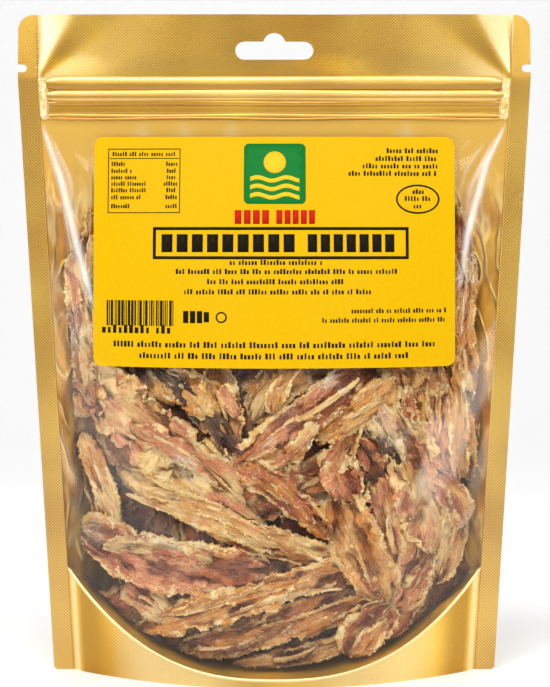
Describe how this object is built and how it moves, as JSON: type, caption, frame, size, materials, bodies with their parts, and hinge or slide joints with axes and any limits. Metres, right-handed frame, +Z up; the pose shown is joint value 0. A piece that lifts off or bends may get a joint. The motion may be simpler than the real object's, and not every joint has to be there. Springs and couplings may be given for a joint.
{
  "type": "stand-up pouch of dried stockfish fillets",
  "caption": "Gold stand-up pouch with a clear front that shows dried fish fillets, a plain yellow label, a press zip, tear notches and a hang slot; stands on its gusset.",
  "frame": {"origin": "on the floor under the middle of the pouch, in the plane of the side seals", "axes": "+Z up along the pouch's height, +X across its width, -Y out of the clear front"},
  "size_m": [0.21, 0.0868, 0.27],
  "materials": {
    "gold_film": "satin metallised gold film",
    "clear_film": "thin clear film",
    "dried_fish": "dry, fibrous, part translucent",
    "label_paper": "smooth coated label",
    "label_ink": "printed ink"
  },
  "bodies": {
    "root": {"pouch": "gold_film", "fillets": "dried_fish", "label": "label_paper"}
  },
  "joints": []
}
